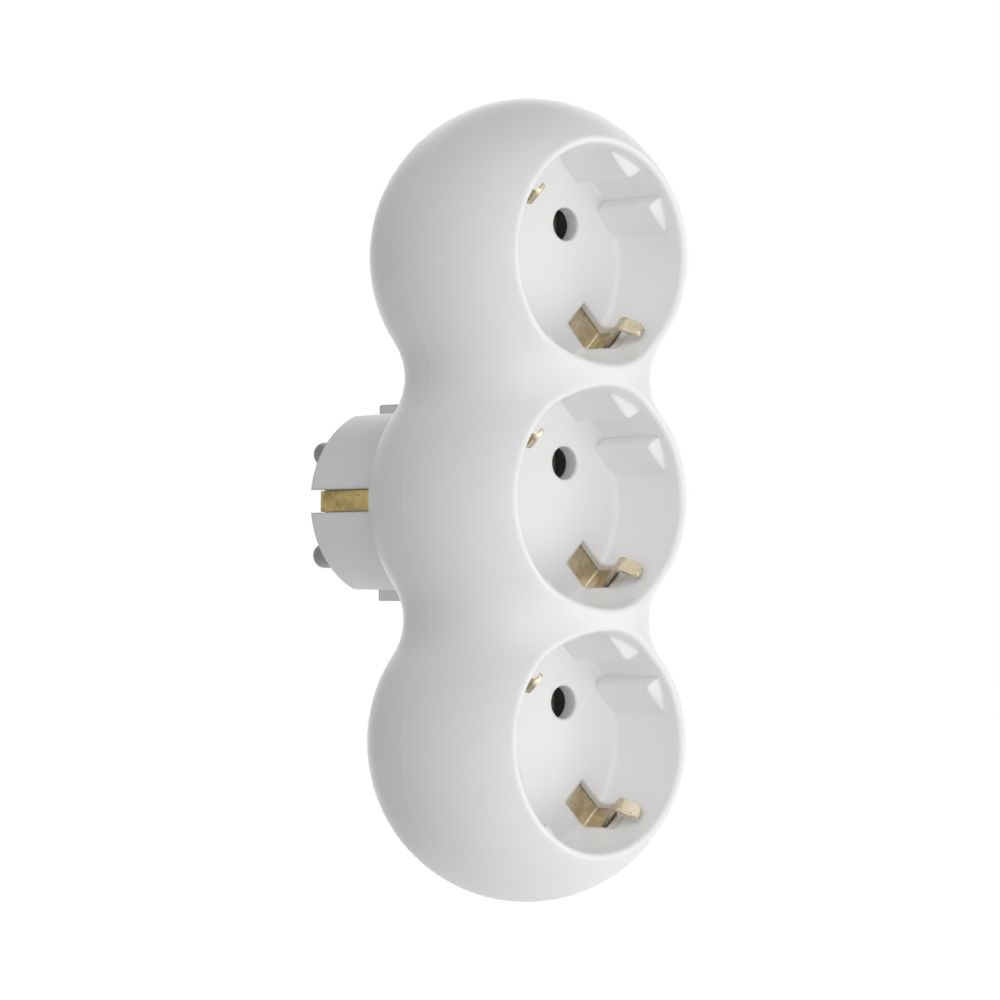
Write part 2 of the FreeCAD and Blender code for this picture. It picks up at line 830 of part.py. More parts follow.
def cut_side_grooves(body):
    """Grooves down the nose's sides for the earth strips, with a way in through the back wall."""
    floor = SIDE_STRIP_REACH - dims.strip_wall
    half = dims.side_groove_width / 2
    grooves = cross_sketch(body, "grooves", dims.plug_reach + dims.overrun)
    ways = cross_sketch(body, "ways", BACK_PLACE + dims.overrun)
    hooks = cross_sketch(body, "hooks", dims.plug_reach + dims.overrun)
    for side in (1, -1):
        for sketch, near, far in (
            (grooves, floor, LOBE_RADIUS),
            (ways, HOLLOW_ACROSS - dims.overrun, SIDE_STRIP_REACH + dims.strip_clearance),
            (hooks, SIDE_STRIP_REACH - dims.hook_length - dims.strip_clearance, SIDE_STRIP_REACH),
        ):
            ends = sorted([near * side, far * side], key=lambda size: size.number)
            draw_box(sketch, ends[0], ends[1], -half, half)
    pocket(body, grooves, dims.plug_reach - BACK_PLACE + dims.overrun, backwards=True)
    pocket(body, ways, dims.shell_wall + dims.overrun * 2, backwards=True)
    pocket(body, hooks, dims.strip_wall + dims.overrun, backwards=True)
    corner_reach = floor.number
    corner_place = dims.plug_reach.number - dims.strip_wall.number

    def under_hook(point):
        return abs(abs(point.x) - corner_reach) < 1e-4 and abs(point.y - corner_place) < 1e-4

    round_edges(body, "hook_corners", dims.earth_bend - dims.strip_wall / 2, under_hook)


def bore_screw_tubes(body):
    counterbores = cross_sketch(body, "counterbores", dims.post_end + dims.screw_seat)
    holes = cross_sketch(body, "screw_holes", dims.post_end - dims.overrun)
    for up in SCREW_PLACES:
        draw_circle(counterbores, 0, up, dims.screw_head_radius + dims.head_clearance)
        draw_circle(holes, 0, up, dims.screw_radius + dims.screw_clearance)
    pocket(body, counterbores, BACK_PLACE)
    pocket(body, holes, BACK_PLACE)


def screws(document):
    """Four pan-head screws from the back, as one group."""
    seat = dims.post_end + dims.screw_seat
    solids = []
    for number, up in enumerate(SCREW_PLACES, start=1):
        body = new_body(document, f"screw_{number}")
        sketch = new_sketch(body, "profile", "XY_Plane")
        outline = [
            (0, seat - dims.screw_length),
            (dims.screw_radius, seat - dims.screw_length),
            (dims.screw_radius, seat),
            (dims.screw_head_radius, seat),
            (dims.screw_head_radius, seat + dims.screw_head_height, dims.screw_head_height / 2),
            (0, seat + dims.screw_head_height),
        ]
        draw_outline(sketch, outline)
        revolve(body, sketch)
        place_at_lobe(body, z=up)
        solids.append(body)
    return group(document, "housing_screws", solids)


def group(document, name, solids):
    item = document.addObject("Part::Compound", name)
    item.Label = name
    item.Links = solids
    return item


# Metalwork.

def plug_pin(document, name, side):
    """A turned pin: round tip, thicker shank in its boss, collar behind it and a riveted-over spigot."""
    body = new_body(document, name)
    collar_end = dims.tab_back - dims.plug_reach
    boss_end = collar_end + dims.collar_length
    spigot_end = collar_end - dims.strip_wall
    head_end = spigot_end - dims.rivet_head_height
    outline = [
        (0, dims.pin_length),
        (0, head_end),
        (dims.rivet_head_radius, head_end, dims.rivet_head_height / 2),
        (dims.rivet_head_radius, spigot_end),
        (dims.spigot_radius, spigot_end),
        (dims.spigot_radius, collar_end),
        (dims.collar_radius, collar_end),
        (dims.collar_radius, boss_end),
        (dims.shank_radius, boss_end),
        (dims.shank_radius, 0),
        (dims.pin_radius, 0),
        (dims.pin_radius, dims.pin_length, dims.pin_tip_round),
    ]
    sketch = new_sketch(body, "profile", "XY_Plane")
    draw_outline(sketch, outline)
    revolve(body, sketch)
    place(body, z=PIN_REACH * side)
    return body


def contact_clip(document, name, across, up, turn):
    """A folded spring: a straight leaf against the busbar, a bowed leaf, and a lug beside the pin."""
    body = new_body(document, name)
    middle = dims.leaf_gap / 2 + dims.leaf_wall / 2
    back = dims.clip_back - dims.leaf_wall / 2
    section = cross_sketch(body, "section", dims.clip_front)
    half = dims.leaf_width / 2
    draw_box(section, dims.leaf_gap / 2, dims.leaf_gap / 2 + dims.leaf_wall, -half, half)
    path = new_sketch(body, "path", "XY_Plane")
    corners = [
        (middle, dims.clip_front),
        (middle, back, dims.leaf_bend),
        (-middle - dims.leaf_belly, back, dims.leaf_bend),
        (-middle, dims.clip_waist, dims.leaf_bend),
        (-middle - dims.leaf_flare, dims.clip_front),
    ]
    draw_outline(path, corners, closed=False)
    sweep(body, section, path)
    lug = new_sketch(body, "lug", "YZ_Plane", dims.leaf_gap / 2)
    bar_middle = dims.bar_front + dims.bar_width / 2
    low = bar_middle - dims.leaf_width / 2
    high = bar_middle + dims.leaf_width / 2
    outline = [
        (low, 0),
        (high, 0),
        (high, dims.lug_reach, dims.lug_round),
        (low, dims.lug_reach, dims.lug_round),
    ]
    draw_outline(lug, outline)
    pad(body, lug, dims.leaf_wall)
    hole = new_sketch(body, "rivet_hole", "YZ_Plane", dims.leaf_gap / 2)
    draw_circle(hole, bar_middle, dims.rivet_offset, dims.rivet_radius)
    pocket(body, hole, dims.leaf_wall * 2, backwards=True)
    place_at_lobe(body, across, up, turn)
    return body


def clip_rivets(document):
    """One rivet through each clip's lug and its busbar, as one group."""
    inside = dims.leaf_gap / 2
    outside = inside + dims.leaf_wall + dims.strip_wall
    head = dims.rivet_head_height
    solids = []
    for name, across, up, turn in pin_places():
        body = new_body(document, f"rivet_{name}")
        sketch = new_sketch(body, "profile", "XY_Plane")
        outline = [
            (inside - head, 0),
            (outside + head, 0),
            (outside + head, dims.rivet_head_radius, head / 2),
            (outside, dims.rivet_head_radius),
            (outside, dims.rivet_radius),
            (inside, dims.rivet_radius),
            (inside, dims.rivet_head_radius),
            (inside - head, dims.rivet_head_radius, head / 2),
        ]
        draw_outline(sketch, outline)
        feature = add_feature(body, "Revolution", sketch, f"{sketch.Name}_turned")
        feature.ReferenceAxis = (sketch, ["H_Axis"])
        feature.Angle = 360
        offset = dims.rivet_offset if turn == 0 else -dims.rivet_offset
        place(body, across, dims.bar_front + dims.bar_width / 2 - dims.plug_reach, up + offset, turn)
        solids.append(body)
    return group(document, "clip_rivets", solids)


def busbar(document, name, turn):
    """A flat bar on edge past three clips, with a folded tab that reaches one pin."""
    body = new_body(document, name)
    low = -SOCKET_PITCH + PIN_SHIFT - dims.leaf_width / 2 - dims.bar_end
    high = SOCKET_PITCH + PIN_SHIFT + dims.lug_reach + dims.bar_round
    back = dims.bar_front + dims.bar_width
    bar = new_sketch(body, "bar", "YZ_Plane", BAR_INSIDE)
    draw_box(bar, dims.bar_front, back, low, high, dims.bar_round)
    pad(body, bar, dims.strip_wall)
    add_bar_tab(body)
    holes = new_sketch(body, "rivet_holes", "YZ_Plane", BAR_INSIDE)
    for offset in SOCKET_PLACES.values():
        up = offset + PIN_SHIFT + dims.rivet_offset
        draw_circle(holes, dims.bar_front + dims.bar_width / 2, up, dims.rivet_radius)
    pocket(body, holes, dims.strip_wall * 2, backwards=True)
    place_at_lobe(body, turn=turn)
    return body


def add_bar_tab(body):
    """The tab leaves the bar's back edge and folds across to the pin's spigot."""
    start = dims.bar_front + dims.bar_width / 2
    half = dims.tab_width / 2
    section = cross_sketch(body, "tab_section", start)
    draw_box(section, BAR_INSIDE, BAR_INSIDE + dims.strip_wall, PIN_REACH - half, PIN_REACH + half)
    across = BAR_INSIDE + dims.strip_wall / 2
    level = dims.tab_back - dims.strip_wall / 2
    path = new_sketch(body, "tab_path", "XY_Plane", PIN_REACH)
    corners = [
        (across, start),
        (across, level, dims.tab_bend),
        (-half, level),
    ]
    draw_outline(path, corners, closed=False)
    sweep(body, section, path)
    spigot = cross_sketch(body, "spigot_hole", dims.tab_back - dims.strip_wall - dims.overrun)
    draw_circle(spigot, 0, PIN_REACH, dims.spigot_radius)
    pocket(body, spigot, dims.strip_wall + dims.overrun * 2)


def earth_clip(document, name, up):
    """A strip across behind the floor whose two arms come up the slots, bow inwards and flare."""
    body = new_body(document, name)
    half_wall = dims.strip_wall / 2
    plate = FLOOR_BACK + half_wall
    side = EARTH_REACH + half_wall
    half = dims.earth_width / 2
    section = new_sketch(body, "section", "XY_Plane")
    draw_box(section, -half, half, FLOOR_BACK, FLOOR_BACK + dims.strip_wall)
    tip = depth_place(dims.tip_depth)
    arms = (
        ("near_arm", 1, dims.near_bump_height, dims.near_tip_height),
        ("far_arm", -1, dims.far_bump_height, dims.far_tip_height),
    )
    for arm_name, way, bump_height, tip_height in arms:
        path = new_sketch(body, arm_name, "YZ_Plane")
        bump = SOCKET_RADIUS - bump_height + half_wall
        corners = [
            (plate, 0),
            (plate, side * way, dims.earth_bend),
            (depth_place(dims.arm_start), side * way, dims.earth_bend),
            (depth_place(dims.bump_depth), bump * way, dims.bump_round),
            (tip, (SOCKET_RADIUS - tip_height) * way),
        ]
        draw_outline(path, corners, closed=False)
        sweep(body, section, path)
    trim = new_sketch(body, "arm_outline", "XY_Plane")
    arm = dims.arm_width / 2
    start = depth_place(dims.arm_start)
    right = [
        (dims.earth_width, tip - LOBE_RADIUS),
        (dims.earth_width, start),
        (half, start),
        (arm, start - dims.arm_shoulder),
        (arm, tip, dims.tip_round),
    ]
    left = [(-as_size(corner[0]), *corner[1:]) for corner in reversed(right)]
    draw_outline(trim, right + left)
    pocket(body, trim, dims.cut_length, both_sides=True)
    place_at_lobe(body, z=up, turn=SOCKET_TURN)
    return body


def earth_busbar(document):
    """A flat strip down the middle with an eye at each neck post and a riser to the plug's bracket."""
    body = new_body(document, "earth_busbar")
    front = FLOOR_BACK + dims.strip_wall
    half = dims.earth_bar_width / 2
    end = SOCKET_PITCH + dims.earth_bar_end
    strip = cross_sketch(body, "strip", front)
    draw_box(strip, -half, half, -end, end)
    pad(body, strip, dims.strip_wall, backwards=True)
    inner = dims.post_radius + dims.strip_clearance
    eyes = cross_sketch(body, "eyes", front)
    holes = cross_sketch(body, "eye_holes", front - dims.overrun)
    for side in (1, -1):
        draw_circle(eyes, 0, NECK_SCREW_PLACE * side, inner + dims.eye_wall)
        draw_circle(holes, 0, NECK_SCREW_PLACE * side, inner)
    pad(body, eyes, dims.strip_wall, backwards=True)
    pocket(body, holes, dims.strip_wall + dims.overrun * 2)
    riser = new_sketch(body, "riser", "XY_Plane")
    wall = dims.strip_wall / 2
    foot_back = dims.bridge_back - dims.strip_wall
    outline = [
        (-wall, front),
        (wall, front),
        (wall, foot_back - dims.strip_wall),
        (dims.riser_foot, foot_back - dims.strip_wall),
        (dims.riser_foot, foot_back),
        (-wall, foot_back, dims.strip_wall),
    ]
    draw_outline(riser, outline)
    pad(body, riser, dims.side_strip_width, both_sides=True)
    hole = cross_sketch(body, "foot_hole", foot_back - dims.strip_wall - dims.overrun)
    draw_circle(hole, dims.riser_foot / 2, 0, dims.rivet_radius)
    pocket(body, hole, dims.strip_wall + dims.overrun * 2)
    place_at_lobe(body)
    return body


def plug_bracket(document):
    """One strip across the nose's root whose legs run out along both sides and hook over the face."""
    body = new_body(document, "plug_earth_bracket")
    half_wall = dims.strip_wall / 2
    half = dims.side_strip_width / 2
    level = dims.bridge_back - half_wall
    side = SIDE_STRIP_REACH - half_wall
    face = dims.plug_reach - half_wall
    section = new_sketch(body, "section", "YZ_Plane")
    draw_box(section, dims.bridge_back - dims.strip_wall, dims.bridge_back, -half, half)
    path = new_sketch(body, "path", "XY_Plane")
    corners = [
        (0, level),
        (side, level, dims.earth_bend),
        (side, face, dims.earth_bend),
        (SIDE_STRIP_REACH - dims.hook_length, face),
    ]
    draw_outline(path, corners, closed=False)
    strip = sweep(body, section, path)
    mirror(body, strip, "YZ_Plane")
    hole = cross_sketch(body, "rivet_hole", dims.bridge_back - dims.strip_wall - dims.overrun)
    draw_circle(hole, dims.riser_foot / 2, 0, dims.rivet_radius)
    pocket(body, hole, dims.strip_wall + dims.overrun * 2)
    place_at_lobe(body)
    return body


def earth_rivet(document):
    """The rivet that joins the earth busbar's foot to the plug's bracket."""
    body = new_body(document, "earth_rivet")
    front = dims.bridge_back - dims.strip_wall * 2
    back = dims.bridge_back
    head = dims.rivet_head_height
    head_radius = dims.riser_foot / 2 - dims.strip_wall
    outline = [
        (0, front - head),
        (head_radius, front - head, head / 2),
        (head_radius, front),
        (dims.rivet_radius, front),
        (dims.rivet_radius, back),
        (head_radius, back),
        (head_radius, back + head, head / 2),
        (0, back + head),
    ]
    sketch = new_sketch(body, "profile", "XY_Plane")
    draw_outline(sketch, outline)
    revolve(body, sketch)
    place_at_lobe(body, dims.riser_foot / 2)
    return body


def build(document):
    """Every sub-part of the adapter."""
    nodes = [front_housing(document), rear_housing(document), screws(document)]
    nodes.append(plug_pin(document, "pin_upper", 1))
    nodes.append(plug_pin(document, "pin_lower", -1))
    nodes.append(busbar(document, "line_busbar", 0))
    nodes.append(busbar(document, "neutral_busbar", 180))
    for name, across, up, turn in pin_places():
        nodes.append(contact_clip(document, name, across, up, turn))
    nodes.append(clip_rivets(document))
    for socket, offset in SOCKET_PLACES.items():
        nodes.append(earth_clip(document, f"earth_clip_{socket}", offset))
    nodes.append(earth_busbar(document))
    nodes.append(plug_bracket(document))
    nodes.append(earth_rivet(document))
    return nodes


def check(document, nodes):
    for item in document.Objects:
        if "Invalid" in item.State or "Error" in item.State:
            raise RuntimeError(f"{item.Name}: {item.State}")
    for node in nodes:
        if node.Shape.isNull() or not node.Shape.isValid():
            raise RuntimeError(f"{node.Label}: no valid shape")


def main():
    document = FreeCAD.newDocument("adapter")
    fill_sheet(document)
    nodes = build(document)
    document.recompute()
    check(document, nodes)
    os.makedirs("parts", exist_ok=True)
    for node in nodes:
        node.Shape.exportStep(f"parts/{node.Label}.step")
        print(node.Label, len(node.Shape.Solids), round(node.Shape.Volume, 1))


main()
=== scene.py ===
import math

import bmesh
import bpy
from mathutils import Matrix, Vector


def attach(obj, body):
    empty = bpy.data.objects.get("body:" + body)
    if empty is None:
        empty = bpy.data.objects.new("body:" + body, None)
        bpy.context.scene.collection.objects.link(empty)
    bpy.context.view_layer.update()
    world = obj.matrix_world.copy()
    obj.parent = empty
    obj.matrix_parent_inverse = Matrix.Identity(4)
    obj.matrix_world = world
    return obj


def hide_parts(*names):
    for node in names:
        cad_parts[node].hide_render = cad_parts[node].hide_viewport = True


# Three-way plug-in adapter in glossy white plastic, seen a little from the left and just below
# its middle. Metres, as the solids come: the plug's end face is at the origin, its pins run
# along +Y, the sockets face -Y, and +Z is up.

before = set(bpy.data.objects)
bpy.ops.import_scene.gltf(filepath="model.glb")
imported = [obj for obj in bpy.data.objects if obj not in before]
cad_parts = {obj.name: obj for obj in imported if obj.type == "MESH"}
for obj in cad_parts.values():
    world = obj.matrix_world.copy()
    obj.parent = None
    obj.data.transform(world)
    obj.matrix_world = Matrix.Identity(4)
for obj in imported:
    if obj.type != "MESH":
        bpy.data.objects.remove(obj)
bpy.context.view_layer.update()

MM = 0.001

# Places of the adapter that the looks need.
LOBE_CENTRE = Vector((0, -40.15, 0)) * MM
SOCKET_HEIGHTS = (43.0 * MM, 0.0, -43.0 * MM)
SOCKET_TURN = math.radians(-45)
SEAM = -39.4 * MM
SCREW_SEAT = -30.15 * MM
SCREW_SPREADS = {"Inner spread": 21.5 * MM, "Outer spread": 57.0 * MM}

# The studio: a floor well below the adapter, even light from all sides and five soft boxes.
FLOOR_DROP = 1000 * MM
FLOOR_WIDTH = 60
FLOOR_GLOW = 0.88
EVEN_LIGHT = 0.187
LAMP_DISTANCE = 1.7


def linear(code):
    """A colour written as #rrggbb, in linear light."""
    parts = [int(code[start:start + 2], 16) / 255 for start in (1, 3, 5)]
    return [part / 12.92 if part <= 0.04045 else ((part + 0.055) / 1.055) ** 2.4 for part in parts]


def colour(code):
    return (*linear(code), 1.0)


def add_node(tree, kind, inputs=None, **settings):
    """A node with its settings, and with its inputs set to values or linked to outputs."""
    node = tree.nodes.new(kind)
    for name, value in settings.items():
        setattr(node, name, value)
    for name, value in (inputs or {}).items():
        if isinstance(value, bpy.types.NodeSocket):
            tree.links.new(value, node.inputs[name])
        else:
            node.inputs[name].default_value = value
    return node


def worked_out(tree, operation, first, second=0.0):
    """The result of one sum, product, absolute value or maximum."""
    return add_node(tree, "ShaderNodeMath", {0: first, 1: second}, operation=operation).outputs[0]


def new_material(name):
    """An empty material, its tree and the place on the piece."""
    material = bpy.data.materials.new(name)
    material.use_nodes = True
    tree = material.node_tree
    tree.nodes.clear()
    place = add_node(tree, "ShaderNodeTexCoord").outputs["Object"]
    return material, tree, place


def noise(tree, place, grain, detail, roughness):
    """A cloudy pattern from 0 to 1 whose grains have about the given size."""
    inputs = {"Vector": place, "Scale": 1 / grain, "Detail": detail, "Roughness": roughness}
    return add_node(tree, "ShaderNodeTexNoise", inputs).outputs["Fac"]


def ranged(tree, value, start, end, low, high):
    """The value from start to end, turned into one from low to high."""
    inputs = {"Value": value, "From Min": start, "From Max": end, "To Min": low, "To Max": high}
    return add_node(tree, "ShaderNodeMapRange", inputs).outputs[0]


def mixed(tree, share, first, second):
    """The first colour, and the second in the given share."""
    inputs = {"Factor": share, "A": first, "B": second}
    return add_node(tree, "ShaderNodeMix", inputs, data_type="RGBA").outputs["Result"]


def relief(tree, height, strength, depth, normal=None):
    """The surface's direction with a fine relief, over another one where that is given."""
    inputs = {"Height": height, "Strength": strength, "Distance": depth}
    if normal is not None:
        inputs["Normal"] = normal
    return add_node(tree, "ShaderNodeBump", inputs).outputs["Normal"]


def surface(tree, **looks):
    """The tree's end: one surface with the given looks."""
    inputs = {name.replace("_", " "): value for name, value in looks.items()}
    shader = add_node(tree, "ShaderNodeBsdfPrincipled", inputs)
    add_node(tree, "ShaderNodeOutputMaterial", {"Surface": shader.outputs[0]})


# Materials.

def glossy_white_abs():
    """Injection-moulded ABS from a polished tool: a clean, bright white with a soft gloss. Up close
    it has a faint orange-peel skin, slightly duller flow patches and a hairline where the shells meet,
    whose lighter colour is a painted highlight."""
    material, tree, place = new_material("glossy moulded white ABS")
    # Flow patches about 14 mm across.
    patches = noise(tree, place, 14 * MM, 3.0, 0.45)
    tint = mixed(tree, patches, colour("#f6f6f6"), colour("#f2f2f2"))
    polish = ranged(tree, patches, 0.3, 0.7, 0.40, 0.48)
    # The seam: a fine line about 0.3 mm wide round both shells. Its colour is a painted highlight, a little
    # lighter than the skin, where light would catch the shells' edges.
    along = add_node(tree, "ShaderNodeSeparateXYZ", {"Vector": place}).outputs["Y"]
    gap = worked_out(tree, "ABSOLUTE", worked_out(tree, "SUBTRACT", along, SEAM))
    seam = ranged(tree, gap, 0.05 * MM, 0.22 * MM, 1.0, 0.0)
    # Painted highlight: the seam line is mixed in lighter than the plastic's own colour.
    tint_with_painted_seam_highlight = mixed(tree, seam, tint, colour("#fdfdfd"))
    # The tool's edges are rounded by about 1 mm, more than the solids show, but not at the seam.
    rounding = ranged(tree, gap, 1.5 * MM, 3.0 * MM, 0.0, 1.0 * MM)
    rounded = add_node(tree, "ShaderNodeBevel", {"Radius": rounding}, samples=8).outputs["Normal"]
    # The skin of the tool, grains of about 0.7 mm and a hundredth of a millimetre deep.
    skin = noise(tree, place, 0.7 * MM, 2.0, 0.5)
    peel = relief(tree, skin, 0.5, 0.014 * MM, rounded)
    flash = relief(tree, seam, 0.05, 0.02 * MM, peel)
    surface(tree, Base_Color=tint_with_painted_seam_highlight, Roughness=polish, IOR=1.53, Normal=flash)
    return material


def rolled_strip(name, clean, dull, stain, roughness, stain_share):
    """Rolled brass strip, cut and folded. It has a fine uneven grain, cloudy tarnish a few
    millimetres across and small brown spots."""
    material, tree, place = new_material(name)
    clouds = noise(tree, place, 3.5 * MM, 4.0, 0.6)
    cloud_share = ranged(tree, clouds, 0.38, 0.64, 0.0, 1.0)
    tarnish = mixed(tree, cloud_share, colour(clean), colour(dull))
    spots = noise(tree, place, 0.8 * MM, 5.0, 0.65)
    spot_share = ranged(tree, spots, 1.0 - stain_share, 1.06 - stain_share, 0.0, 0.55)
    metal = mixed(tree, spot_share, tarnish, colour(stain))
    wear = ranged(tree, clouds, 0.3, 0.7, roughness - 0.08, roughness + 0.12)
    # The grain, about 0.3 mm across and a little coarser than the real one so that it shows.
    grain = noise(tree, place, 0.3 * MM, 2.0, 0.6)
    rolled = relief(tree, grain, 0.7, 0.02 * MM)
    surface(tree, Base_Color=metal, Metallic=1.0, Roughness=wear, Normal=rolled)
    return material


def plated_metal(name, bright, dull, roughness, ring_pitch):
    """Turned and plated metal: rings left by the tool, and a thin plating with dull patches."""
    material, tree, place = new_material(name)
    patches = noise(tree, place, 2.5 * MM, 4.0, 0.6)
    tint = mixed(tree, patches, colour(bright), colour(dull))
    shine = ranged(tree, patches, 0.3, 0.7, roughness - 0.06, roughness + 0.08)
    # A wave of scale 1 makes 20 / tau rings in a metre.
    waves = {"Vector": place, "Scale": math.tau / (20 * ring_pitch), "Distortion": 0.6, "Detail": 1.0}
    rings = add_node(tree, "ShaderNodeTexWave", waves, bands_direction="Y").outputs["Fac"]
    turned = relief(tree, rings, 0.25, 0.01 * MM)
    surface(tree, Base_Color=tint, Metallic=1.0, Roughness=shine, Normal=turned)
    return material


housing_plastic = glossy_white_abs()
clip_brass = rolled_strip("tarnished brass strip", "#dcd1ba", "#bcae92", "#79664a", 0.42, 0.41)
bar_brass = rolled_strip("rolled yellow brass strip", "#ac9a66", "#8c7b50", "#574521", 0.36, 0.42)
pin_nickel = plated_metal("nickel-plated turned brass", "#7d7d7c", "#6b6b6a", 0.3, 0.4 * MM)
screw_zinc = plated_metal("zinc-plated steel", "#bcbdbd", "#9fa1a1", 0.34, 0.4 * MM)

SOCKETS = ("top", "middle", "bottom")
CLIPS = [f"{kind}_clip_{socket}" for kind in ("line", "neutral", "earth") for socket in SOCKETS]

FINISHES = {
    "housing": (housing_plastic, ["front_housing", "rear_housing"]),
    "clip_brass": (clip_brass, CLIPS),
    "bar_brass": (bar_brass, ["line_busbar", "neutral_busbar", "earth_busbar", "plug_earth_bracket"]),
    "rivet_brass": (bar_brass, ["clip_rivets", "earth_rivet"]),
    "pin_nickel": (pin_nickel, ["pin_upper", "pin_lower"]),
}

for slot_name, (material, node_names) in FINISHES.items():
    for node_name in node_names:
        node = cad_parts[node_name]
        node.data.materials.clear()
        node.data.materials.append(material)


def mesh_object(name, builder):
    """An object from a new mesh that the builder fills."""
    shape = bmesh.new()
    builder(shape)
    mesh = bpy.data.meshes.new(name)
    shape.to_mesh(mesh)
    shape.free()
    item = bpy.data.objects.new(name, mesh)
    bpy.context.scene.collection.objects.link(item)
    return item


def apply_modifiers(item, name):
    """Gives the object the mesh that its modifiers work out, under a new name."""
    bpy.context.view_layer.update()
    graph = bpy.context.evaluated_depsgraph_get()
    mesh = bpy.data.meshes.new_from_object(item.evaluated_get(graph), depsgraph=graph)
    mesh.name = name
    item.modifiers.clear()
    item.data = mesh


# Screws.

def screw_blank(shape):
    """A pan-head screw turned about Y, in millimetres: its seat is at 0 and its head towards +Y."""
    point, taper_end = -9.0, -7.6
    tip, shank, head = 0.5, 1.42, 2.6
    edge_break, crown, crown_steps = 0.05, 0.95, 8
    profile = [(0.0, point), (tip, point), (shank, taper_end), (shank, 0.0)]
    profile += [(head - edge_break, 0.0), (head, 2 * edge_break), (head, crown)]
    for step in range(1, crown_steps + 1):
        turn = math.radians(step * 90 / crown_steps)
        profile.append((head - crown + crown * math.cos(turn), crown + crown * math.sin(turn)))
    profile.append((0.0, 2 * crown))
    points = [shape.verts.new((across * MM, along * MM, 0)) for across, along in profile]
    edges = [shape.edges.new(pair) for pair in zip(points, points[1:])]
    bmesh.ops.spin(
        shape,
        geom=points + edges,
        cent=(0, 0, 0),
        axis=(0, 1, 0),
        angle=math.tau,
        steps=64,
        use_duplicate=False,
    )
    bmesh.ops.remove_doubles(shape, verts=shape.verts, dist=0.002 * MM)
    bmesh.ops.recalc_face_normals(shape, faces=shape.faces)


def cross_cutter(shape):
    """Two crossed blades, in millimetres, that narrow downwards as the driver leaves its recess."""
    bottom = {"length": 1.5, "level": 0.7, "thickness": 0.42}
    mouth = {"length": 3.1, "level": 2.4, "thickness": 0.78}
    for turn in (0, 90):
        blade = bmesh.ops.create_cube(shape, size=1.0)["verts"]
        for vert in blade:
            end = bottom if vert.co.y < 0 else mouth
            vert.co = Vector((vert.co.x * end["length"], end["level"], vert.co.z * end["thickness"])) * MM
        crossing = Matrix.Rotation(math.radians(turn), 3, "Y")
        bmesh.ops.rotate(shape, verts=blade, cent=(0, 0, 0), matrix=crossing)
    bmesh.ops.recalc_face_normals(shape, faces=shape.faces)


def recessed_screw():
    screw = mesh_object("screw_blank", screw_blank)
    cutter = mesh_object("cross_cutter", cross_cutter)
    recess = screw.modifiers.new("cross recess", "BOOLEAN")
    recess.object = cutter
    recess.operation = "DIFFERENCE"
    recess.solver = "EXACT"
    recess.use_self = True
    apply_modifiers(screw, "recessed_screw")
    bpy.data.objects.remove(cutter)
    return screw


def screw_rows_tree():
    """Puts the screw at four heights on the adapter's middle line, each turned by chance."""
    tree = bpy.data.node_groups.new("screw_rows", "GeometryNodeTree")
    sockets = {}
    for name, kind in (
        ("Screw", "NodeSocketObject"),
        ("Inner spread", "NodeSocketFloat"),
        ("Outer spread", "NodeSocketFloat"),
        ("Seat", "NodeSocketFloat"),
        ("Finish", "NodeSocketMaterial"),
    ):
        sockets[name] = tree.interface.new_socket(name=name, in_out="INPUT", socket_type=kind).identifier
    tree.interface.new_socket(name="Geometry", in_out="OUTPUT", socket_type="NodeSocketGeometry")
    given = add_node(tree, "NodeGroupInput").outputs
    rows = add_node(tree, "GeometryNodeJoinGeometry")
    for name in SCREW_SPREADS:
        low = worked_out(tree, "MULTIPLY", given[name], -1.0)
        start = add_node(tree, "ShaderNodeCombineXYZ", {"Y": given["Seat"], "Z": low})
        end = add_node(tree, "ShaderNodeCombineXYZ", {"Y": given["Seat"], "Z": given[name]})
        row = add_node(
            tree,
            "GeometryNodeMeshLine",
            {"Count": 2, "Start Location": start.outputs[0], "Offset": end.outputs[0]},
            mode="END_POINTS",
        )
        tree.links.new(row.outputs[0], rows.inputs[0])
    chance = add_node(tree, "FunctionNodeRandomValue", {"Seed": 5}, data_type="FLOAT")
    quarter = worked_out(tree, "MULTIPLY", chance.outputs[1], math.pi / 2)
    turn = add_node(tree, "ShaderNodeCombineXYZ", {"Y": quarter})
    turned = add_node(tree, "FunctionNodeEulerToRotation", {0: turn.outputs[0]})
    source = add_node(tree, "GeometryNodeObjectInfo", {"Object": given["Screw"]})
    placed = add_node(
        tree,
        "GeometryNodeInstanceOnPoints",
        {"Points": rows.outputs[0], "Instance": source.outputs["Geometry"], "Rotation": turned.outputs[0]},
    )
    solid = add_node(tree, "GeometryNodeRealizeInstances", {0: placed.outputs[0]})
    finished = add_node(
        tree, "GeometryNodeSetMaterial", {"Geometry": solid.outputs[0], "Material": given["Finish"]}
    )
    add_node(tree, "NodeGroupOutput", {0: finished.outputs[0]})
    return tree, sockets


def place_screws(finish):
    """The four housing screws with their cross recesses, in place of the plain ones."""
    tree, sockets = screw_rows_tree()
    screw = recessed_screw()
    rows = mesh_object("housing_screws_with_recess", lambda shape: None)
    setup = rows.modifiers.new("screw rows", "NODES")
    setup.node_group = tree
    values = {"Screw": screw, "Seat": SCREW_SEAT, "Finish": finish, **SCREW_SPREADS}
    for name, value in values.items():
        setup[sockets[name]] = value
    apply_modifiers(rows, "housing_screws_with_recess")
    bpy.data.objects.remove(screw)
    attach(rows, "root")
    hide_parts("housing_screws")


place_screws(screw_zinc)


# Sockets.

